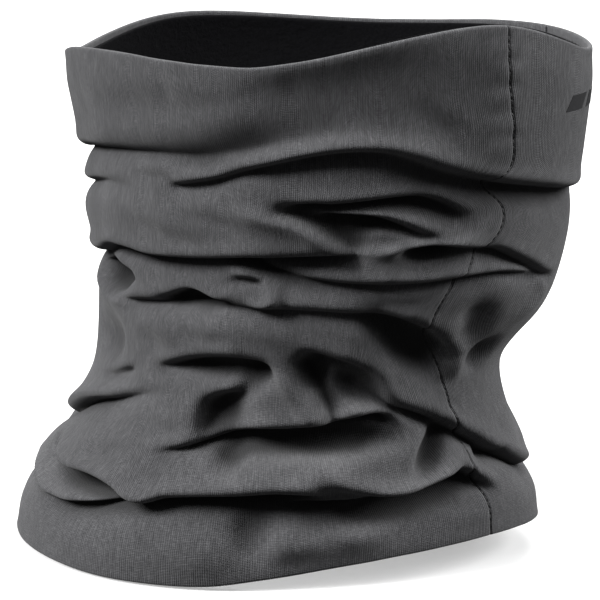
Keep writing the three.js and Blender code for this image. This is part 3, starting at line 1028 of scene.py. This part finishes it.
bpy.ops.object.select_all(action="DESELECT")
bpy.ops.mesh.primitive_cylinder_add(vertices=STITCH_SIDES, radius=HALF, depth=1,
                                    rotation=(0, math.pi / 2, 0))
stitch = bpy.context.object
bpy.ops.object.transform_apply(rotation=True)
bpy.ops.object.mode_set(mode="EDIT")
for cut in (-SHOULDER, SHOULDER):
    bpy.ops.mesh.select_all(action="SELECT")
    bpy.ops.mesh.bisect(plane_co=(cut, 0, 0), plane_no=(1, 0, 0))
bpy.ops.object.mode_set(mode="OBJECT")
stitch_points = np.array([vertex.co[:] for vertex in stitch.data.vertices])
at_end = np.abs(stitch_points[:, 0]) > BEYOND_SHOULDER
stitch_points[at_end, 1:] *= END_WIDTH
stitch_points[:, 2] += ARCH * (HALF**2 - stitch_points[:, 0] ** 2)
stitch_faces = [list(face.vertices) for face in stitch.data.polygons]
bpy.data.objects.remove(stitch)
print("faces in a stitch:", len(stitch_faces))


def row_of_stitches(name, path, outward, length, width, pitch):
    """Stitches of that length and width in mm, one for every pitch along a path. outward gives the way that
    the cloth faces at each point of the path."""
    along = np.concatenate([[0], np.cumsum(np.linalg.norm(np.diff(path, axis=0), axis=1))])

    def read(values, place):
        return np.array([np.interp(place, along, values[:, k]) for k in range(3)])

    corners = []
    faces = []
    for place in np.arange(pitch / 2, along[-1], pitch):
        centre = read(path, place)
        forward = read(path, place + length / 2) - centre
        forward /= np.linalg.norm(forward)
        out = read(outward, place)
        out -= forward * out.dot(forward)
        out /= np.linalg.norm(out)
        side = np.cross(out, forward)
        faces.extend([len(corners) + corner for corner in face] for face in stitch_faces)
        for x, y, z in stitch_points:
            corners.append((centre + forward * x * length + side * y * width + out * z * width) * MM)
    mesh = bpy.data.meshes.new(name)
    mesh.from_pydata(corners, [], faces)
    mesh.shade_smooth()
    print(name, "stitches:", len(faces) // len(stitch_faces))
    return link(bpy.data.objects.new(name, mesh))


# %% [markdown]
# Five rows hold the gaiter together: one down each front seam, one round the inside of the rim, one round
# the inside of the hem, and one down the lining's own seam at the nape.

# %% Rows of stitches
# mm
SEAM_STITCH = {"length": 2.2, "width": 0.7, "pitch": 2.5}
EDGE_STITCH = {"length": 2.4, "width": 0.7, "pitch": 3}
NAPE_STITCH = {"length": 2.2, "width": 0.8, "pitch": 3}
# mm below the cloth's face in a seam, in from the rim or the hem, and above the face that the thread lies on
SEAM_STITCH_DEPTH = 0.55
EDGE_STITCH_INSET = 2.2
STAND_OFF = 0.1
# a seam's stitches stop just short of the rim and the hem
SEAM_ROWS = slice(2, -2)
outer_normals = normals_of(skin, closed=True)


def seam_stitches(name, column):
    """Stitches in the groove between two panels."""
    outward = outer_normals[column, SEAM_ROWS]
    line = skin[column, SEAM_ROWS] - outward * SEAM_STITCH_DEPTH
    return row_of_stitches(name, line, outward, **SEAM_STITCH)


def edge_stitches(name, row, rise):
    """Stitches round the inside of the turned edge, just below the rim or above the hem."""
    inward = inward_of(skin[:, row])
    inset = np.array([0, 0, rise]) * EDGE_STITCH_INSET
    ring = skin[:, row] + inward * (2 * TURN_RADIUS + STAND_OFF) - inset
    ring = np.concatenate([ring, ring[:1]])
    return row_of_stitches(name, ring, np.concatenate([inward, inward[:1]]), **EDGE_STITCH)


right_seam = seam_stitches("right_seam_stitches", RIGHT_SEAM_COLUMN)
left_seam = seam_stitches("left_seam_stitches", LEFT_SEAM_COLUMN)
top_edge = edge_stitches("top_edge_stitches", -2, 1)
hem_edge = edge_stitches("hem_stitches", 1, -1)
nape_line = lining_points[0, len(EDGE_STEPS):-len(EDGE_STEPS)]
nape_inward = inward_of(nape_line)
nape_line = nape_line + nape_inward * (LINING + STAND_OFF)
nape_seam = row_of_stitches("lining_seam_stitches", nape_line, nape_inward, **NAPE_STITCH)

# %% [markdown]
# ## Print and label
#
# The printed mark is heat-pressed film: three slanted bars with no meaning. Each starts as a plane that
# stands in front of the cloth. Its upper edge is pushed sideways for the slant, it is cut into small
# squares, a Shrinkwrap modifier lays it on the cloth, and it is given the film's thickness. The blank care
# label is made the same way, on the inside.

# %% Plates laid on cloth
def laid_plate(name, base, facing, size, slant, target, gap, thickness, cuts):
    """A plate laid on a target piece. base is the middle of its lower edge and size its width and height, in
    mm, and facing is the direction in degrees that it looks in. gap and thickness are in mm."""
    turn = math.radians(facing)
    centre = (Vector(base) + Vector((0, 0, size[1] / 2))) * MM
    bpy.ops.object.select_all(action="DESELECT")
    bpy.ops.mesh.primitive_plane_add(size=1, location=centre, rotation=(math.pi / 2, 0, turn + math.pi / 2))
    piece = bpy.context.object
    piece.name = name
    piece.data.name = name
    piece.scale = (size[0] * MM, size[1] * MM, 1)
    bpy.ops.object.transform_apply(location=True, rotation=True, scale=True)
    bpy.ops.object.mode_set(mode="EDIT")
    bpy.ops.mesh.select_all(action="DESELECT")
    bpy.ops.object.mode_set(mode="OBJECT")
    for vertex in piece.data.vertices:
        vertex.select = vertex.co.z > centre.z
    bpy.ops.object.mode_set(mode="EDIT")
    bpy.ops.transform.translate(value=(-math.sin(turn) * slant * MM, math.cos(turn) * slant * MM, 0))
    bpy.ops.mesh.select_all(action="SELECT")
    bpy.ops.mesh.subdivide(number_cuts=cuts)
    bpy.ops.object.mode_set(mode="OBJECT")
    wrap = piece.modifiers.new("lay", "SHRINKWRAP")
    wrap.target = target
    wrap.wrap_method = "PROJECT"
    wrap.use_negative_direction = True
    wrap.use_positive_direction = True
    wrap.cull_face = "BACK"
    wrap.wrap_mode = "ABOVE_SURFACE"
    wrap.offset = gap * MM
    apply_modifiers(piece)
    thicken(piece, thickness, offset=1)
    print(name, "size, mm:", [round(c / MM, 1) for c in piece.dimensions])
    return piece


# %% Print bars
# mm
BAR_SIZE = (11, 5.5)
BAR_SPACING = 15
BAR_SLANT = 3
BARS_BELOW_RIM = 15
# mm from the axis where the planes stand before they are laid, clear of the cloth
BAR_START = 125
FILM_GAP = 0.05
FILM = 0.12
BAR_CUTS = 11
bar_base = read_round(rim_heights, 0.0) - BARS_BELOW_RIM - BAR_SIZE[1]
bars = []
for number in (1, 2, 3):
    base = (BAR_START, (number - 2) * BAR_SPACING, bar_base)
    bars.append(laid_plate(f"printed_bar_{number}", base, 0, BAR_SIZE, BAR_SLANT, front_panel, FILM_GAP,
                           FILM, cuts=BAR_CUTS))

# %% Care label
# degrees, then mm
LABEL_ANGLE = 150
LABEL_SIZE = (24, 16)
LABEL_ABOVE_HEM = 12
# mm from the axis where the plane stands before it is laid, inside the lining
LABEL_START = 60
LABEL_GAP = 0.1
LABEL = 0.35
LABEL_CUTS = 15
label_height = read_round(hem_heights, float(LABEL_ANGLE)) + LABEL_ABOVE_HEM
label_base = (LABEL_START * math.cos(math.radians(LABEL_ANGLE)),
              LABEL_START * math.sin(math.radians(LABEL_ANGLE)), label_height)
label = laid_plate("blank_care_label", label_base, LABEL_ANGLE + 180, LABEL_SIZE, 0, lining, LABEL_GAP,
                   LABEL, cuts=LABEL_CUTS)

# %% [markdown]
# ## Materials
#
# Every material is made of nodes, so that it holds up close and from every side. One helper adds a node
# with its settings and links, and another ties a finished colour and relief to the shader. The patterns on
# sheets read the UV map, which is in metres along the cloth, so they follow every fold at their real size.
# Small pieces read Object coordinates, which are in metres too.

# %% Node helpers
MULTIPLY = {"operation": "MULTIPLY"}
MULTIPLY_ADD = {"operation": "MULTIPLY_ADD"}
SINE = {"operation": "SINE"}
ABSOLUTE = {"operation": "ABSOLUTE"}


def linear(hex_colour):
    """An sRGB hex colour as linear red, green, blue and alpha."""
    parts = [int(hex_colour[i:i + 2], 16) / 255 for i in (1, 3, 5)]
    return [c / 12.92 if c <= 0.04045 else ((c + 0.055) / 1.055) ** 2.4 for c in parts] + [1]


def per_metre(size):
    """How many times a pattern of that size in mm fits into a metre, which is a texture's scale."""
    return 1 / (size * MM)


def new_material(name):
    """A material with nodes, and its tree."""
    material = bpy.data.materials.new(name)
    material.use_nodes = True
    return material, material.node_tree


def add(tree, kind, settings=None, stops=(), **sockets):
    """Add a node. settings are its own properties, and stops are a colour ramp's (place, hex colour) pairs.
    Each socket is a value or another node's output to link, and s1 is the socket with the number 1."""
    node = tree.nodes.new("ShaderNode" + kind)
    for key, value in (settings or {}).items():
        setattr(node, key, value)
    for place, _ in stops[2:]:
        node.color_ramp.elements.new(place)
    for number, (place, colour) in enumerate(stops):
        node.color_ramp.elements[number].position = place
        node.color_ramp.elements[number].color = linear(colour)
    for key, value in sockets.items():
        name = int(key[1:]) if key[0] == "s" and key[1:].isdigit() else key.replace("_", " ")
        if isinstance(value, bpy.types.NodeSocket):
            tree.links.new(value, node.inputs[name])
        else:
            node.inputs[name].default_value = value
    return node


def complete(material, colour, height, strength, depth, **even):
    """Tie a colour and a relief of that depth in mm to the shader, and set what is even all over on it."""
    tree = material.node_tree
    shader = tree.nodes["Principled BSDF"]
    bump = add(tree, "Bump", Height=height, Strength=strength, Distance=depth * MM)
    tree.links.new(colour, shader.inputs["Base Color"])
    tree.links.new(bump.outputs[0], shader.inputs["Normal"])
    for name, value in even.items():
        shader.inputs[name.replace("_", " ")].default_value = value
    print("material:", material.name, "nodes:", len(tree.nodes))


# %% [markdown]
# ### Grey jersey
#
# The outer cloth is single jersey, knitted from melange yarn: light and dark polyester fibres spun
# together. It looks matt and a little mottled, with fine upright ribs, the wales, and a faint sheen from
# loose fibre ends. Wales and courses are waves along the cloth, the courses bent at each wale as loops
# are, and a slow noise lets the wales wander. The melange is three noises: short tufts, longer slubs and
# broad patches.

# %% Grey jersey
# mm from one wale or course to the next, about twice a real fine jersey's, so that the knit shows
WALE = 0.75
COURSE = 0.6
# how far in mm the wales wander, and over what length
WANDER_SHIFT = 0.9
WANDER_SIZE = 11.1
# how far round its wave a course leans at the legs of its loops, in radians
LEG_LEAN = 1.4
# mm across and up the cloth, coarser than real fibres, so that they show
TUFT_SIZE = (2.38, 0.526)
SLUB_SIZE = (0.667, 6.25)
PATCH_SIZE = 29.4
# how much each stands out in the relief
WALE_RELIEF = 0.5
COURSE_RELIEF = 0.35
TUFT_RELIEF = 0.9
# how far the painted crease shade darkens the cloth's colour at the bottom of a deep crease, as a share
PAINTED_CREASE_SHADE = 0.85
wale_waves = 2 * math.pi * per_metre(WALE)
course_waves = 2 * math.pi * per_metre(COURSE)

jersey, tree = new_material("grey_melange_jersey")
cloth = add(tree, "UVMap", {"uv_map": "cloth"}).outputs[0]
parts = add(tree, "SeparateXYZ", Vector=cloth)
wander = add(tree, "TexNoise", Vector=cloth, Scale=per_metre(WANDER_SIZE), Detail=2).outputs[0]
shift = add(tree, "Math", MULTIPLY, s0=wander, s1=WANDER_SHIFT * MM * wale_waves).outputs[0]
wale_at = add(tree, "Math", MULTIPLY_ADD, s0=parts.outputs[0], s1=wale_waves, s2=shift).outputs[0]
wale = add(tree, "Math", SINE, s0=wale_at).outputs[0]
leg = add(tree, "Math", ABSOLUTE, s0=wale).outputs[0]
leg = add(tree, "Math", MULTIPLY, s0=leg, s1=LEG_LEAN).outputs[0]
course_at = add(tree, "Math", MULTIPLY_ADD, s0=parts.outputs[1], s1=course_waves, s2=leg).outputs[0]
course = add(tree, "Math", SINE, s0=course_at).outputs[0]
knit = add(tree, "Math", MULTIPLY, s0=course, s1=COURSE_RELIEF).outputs[0]
knit = add(tree, "Math", MULTIPLY_ADD, s0=wale, s1=WALE_RELIEF, s2=knit).outputs[0]

# %% The jersey's colour and relief
tuft_scale = (per_metre(TUFT_SIZE[0]), per_metre(TUFT_SIZE[1]), 1)
slub_scale = (per_metre(SLUB_SIZE[0]), per_metre(SLUB_SIZE[1]), 1)
place = add(tree, "Mapping", Vector=cloth, Scale=tuft_scale).outputs[0]
tuft = add(tree, "TexNoise", Vector=place, Scale=1, Detail=4, Roughness=0.7).outputs[0]
place = add(tree, "Mapping", Vector=cloth, Scale=slub_scale).outputs[0]
slub = add(tree, "TexNoise", Vector=place, Scale=1, Detail=3, Roughness=0.65).outputs[0]
patch = add(tree, "TexNoise", Vector=cloth, Scale=per_metre(PATCH_SIZE), Detail=3, Roughness=0.6).outputs[0]
# each pattern's share in the colour, from a start that puts the middle of them all near 0.5
melange = -0.06
for pattern, share in ((tuft, 0.5), (slub, 0.4), (patch, 0.18), (knit, 0.08)):
    melange = add(tree, "Math", MULTIPLY_ADD, s0=pattern, s1=share, s2=melange).outputs[0]
colour = add(tree, "ValToRGB", stops=((0.3, "#262628"), (0.5, "#464648"), (0.7, "#666668")), Fac=melange)
# painted shade: the crease attribute darkens the cloth's colour down its folds, where little light gets out
# again
crease = add(tree, "Attribute", {"attribute_name": "crease"}).outputs["Fac"]
shade = add(tree, "Math", MULTIPLY, s0=crease, s1=PAINTED_CREASE_SHADE).outputs[0]
# the near-black colour that the painted crease shade mixes into the jersey
colour = add(tree, "Mix", {"data_type": "RGBA"}, s0=shade, s6=colour.outputs[0], s7=linear("#151516"))
height = add(tree, "Math", MULTIPLY_ADD, s0=tuft, s1=TUFT_RELIEF, s2=knit).outputs[0]
complete(jersey, colour.outputs[2], height, strength=0.5, depth=0.22,
         Roughness=0.92, Specular_IOR_Level=0.25, Sheen_Weight=0.12, Sheen_Roughness=0.6)

# %% [markdown]
# ### Black brushed lining
#
# The lining is polyester microfleece, brushed on its inner face. The raised nap swallows light, so it
# looks almost black and quite without gloss, with slightly uneven tufts. Hair would be too fine to see
# here, so the nap is a deep bump.

# %% Black brushed lining
# mm, both coarser than real nap, so that they show
NAP_SIZE = 1.11
CLUMP_SIZE = 3.85
CLUMP_RELIEF = 1.6
brushed, tree = new_material("black_brushed_fleece")
cloth = add(tree, "UVMap", {"uv_map": "cloth"}).outputs[0]
nap = add(tree, "TexNoise", Vector=cloth, Scale=per_metre(NAP_SIZE), Detail=5, Roughness=0.75).outputs[0]
clumps = add(tree, "TexNoise", Vector=cloth, Scale=per_metre(CLUMP_SIZE), Detail=3).outputs[0]
height = add(tree, "Math", MULTIPLY_ADD, s0=clumps, s1=CLUMP_RELIEF, s2=nap).outputs[0]
colour = add(tree, "ValToRGB", stops=((0.3, "#050506"), (0.7, "#0f0f11")), Fac=nap).outputs[0]
complete(brushed, colour, height, strength=0.8, depth=0.5,
         Roughness=1.0, Specular_IOR_Level=0.05, Sheen_Weight=0.02)

# %% [markdown]
# ### Thread, film and label
#
# The thread is spun black polyester, with a slight gloss broken by its twisted plies. The bars are dark
# heat-pressed film with a satin face and a fine grain. The label is black woven satin, with a fine weft
# that gives it a soft line of light. The Wave texture draws plies and weft: at a scale of 1 its bands are
# a fixed width apart, so that width comes into their scale.

# %% Thread, film and label
# the Wave texture's own band width, along an axis and along its diagonal
BAND = math.pi / 10
DIAGONAL_BAND = 2 * BAND / math.sqrt(3)
# mm
PLY_SIZE = 0.403
GRAIN_SIZE = 0.556
WEFT_SIZE = 0.2094

thread, tree = new_material("black_polyester_thread")
place = add(tree, "TexCoord").outputs["Object"]
ply = add(tree, "TexWave", {"wave_type": "BANDS", "bands_direction": "DIAGONAL"}, Vector=place,
          Scale=DIAGONAL_BAND * per_metre(PLY_SIZE), Distortion=2).outputs["Fac"]
colour = add(tree, "ValToRGB", stops=((0.2, "#0a0a0b"), (0.8, "#1c1c1e")), Fac=ply).outputs[0]
complete(thread, colour, ply, strength=0.6, depth=0.1, Roughness=0.55)

film, tree = new_material("dark_satin_film")
place = add(tree, "TexCoord").outputs["Object"]
grain = add(tree, "TexNoise", Vector=place, Scale=per_metre(GRAIN_SIZE), Detail=3).outputs[0]
colour = add(tree, "ValToRGB", stops=((0.3, "#1b1b1d"), (0.7, "#29292b")), Fac=grain).outputs[0]
complete(film, colour, grain, strength=0.35, depth=0.1, Roughness=0.5)

woven, tree = new_material("black_woven_satin")
place = add(tree, "TexCoord").outputs["Object"]
weft = add(tree, "TexWave", {"wave_type": "BANDS", "bands_direction": "Z"}, Vector=place,
           Scale=BAND * per_metre(WEFT_SIZE), Distortion=0.6).outputs["Fac"]
colour = add(tree, "ValToRGB", stops=((0.2, "#141416"), (0.8, "#26262a")), Fac=weft).outputs[0]
complete(woven, colour, weft, strength=0.5, depth=0.1, Roughness=0.45)

# %% [markdown]
#
# Nothing on a gaiter turns or slides, so every piece rides on the one body. Each stands for the CAD node
# that it replaces.

# %% Materials, body and CAD nodes
PIECES = [
    (main_panel, "main_panel", "grey_jersey", jersey),
    (front_panel, "front_panel", "grey_jersey", jersey),
    (right_seam, "right_seam_thread", "black_thread", thread),
    (left_seam, "left_seam_thread", "black_thread", thread),
    (lining, "lining", "black_brushed_lining", brushed),
    (nape_seam, "lining_seam_thread", "black_thread", thread),
    (top_edge, "top_edge_thread", "black_thread", thread),
    (hem_edge, "hem_thread", "black_thread", thread),
    (bars[0], "print_bar_1", "dark_film", film),
    (bars[1], "print_bar_2", "dark_film", film),
    (bars[2], "print_bar_3", "dark_film", film),
    (label, "care_label", "woven_label", woven),
]
for piece, node, slot, material in PIECES:
    piece.data.materials.clear()
    piece.data.materials.append(material)
    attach(piece, "root")
    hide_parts(node)
print("pieces:", len(PIECES))

# %% [markdown]
# ## Floor and light
#
# The floor is a pale plane that glows a little, so that it stays nearly white under lamps that are set for
# dark cloth. It throws no light back on the cloth. The sky is bright to the camera and dim to the cloth.
# Four far, soft lamps do the rest: the one at the camera's left rakes across the folds, the one at its
# right lights the front, and two weak ones lift the top and the wearer's left side.

# %% Floor
# metres
FLOOR_WIDTH = 6
FLOOR_GLOW = 0.4
bpy.ops.object.select_all(action="DESELECT")
bpy.ops.mesh.primitive_plane_add(size=FLOOR_WIDTH)
floor = bpy.context.object
floor.name = "floor"
floor.visible_diffuse = False
floor.visible_glossy = False
pale, tree = new_material("pale_floor")
shader = tree.nodes["Principled BSDF"]
shader.inputs["Base Color"].default_value = linear("#c4c4c4")
shader.inputs["Emission Color"].default_value = linear("#ffffff")
shader.inputs["Emission Strength"].default_value = FLOOR_GLOW
floor.data.materials.append(pale)
print("floor width, m:", FLOOR_WIDTH)

# %% Sky and lamps
AMBIENT = 0.09
# name, azimuth, elevation and softness in degrees, strength
LAMPS = [
    ("left", -56, 36, 25, 5.7),
    ("right", 105, 33, 35, 4.6),
    ("overhead", 5, 66, 36, 1),
    ("behind", 190, 50, 40, 2.4),
]
world = bpy.data.worlds.new("studio")
bpy.context.scene.world = world
world.use_nodes = True
tree = world.node_tree
ambient = tree.nodes["Background"]
ambient.inputs["Color"].default_value = linear("#ffffff")
ambient.inputs["Strength"].default_value = AMBIENT
backdrop = add(tree, "Background", Color=linear("#ffffff"), Strength=1)
seen = add(tree, "LightPath").outputs["Is Camera Ray"]
chooser = add(tree, "MixShader", s0=seen, s1=ambient.outputs[0], s2=backdrop.outputs[0])
tree.links.new(chooser.outputs[0], tree.nodes["World Output"].inputs["Surface"])


def sun(name, azimuth, elevation, softness, strength):
    """A far, soft lamp. softness is the angle in degrees that it fills in the sky."""
    lamp = link(bpy.data.objects.new(name, bpy.data.lights.new(name, "SUN")))
    lamp.rotation_mode = "QUATERNION"
    lamp.rotation_quaternion = (-direction(azimuth, elevation)).to_track_quat("-Z", "Y")
    lamp.data.angle = math.radians(softness)
    lamp.data.energy = strength


for lamp in LAMPS:
    sun(*lamp)
bpy.context.scene.view_settings.view_transform = "Standard"
print("lamps:", len(LAMPS))
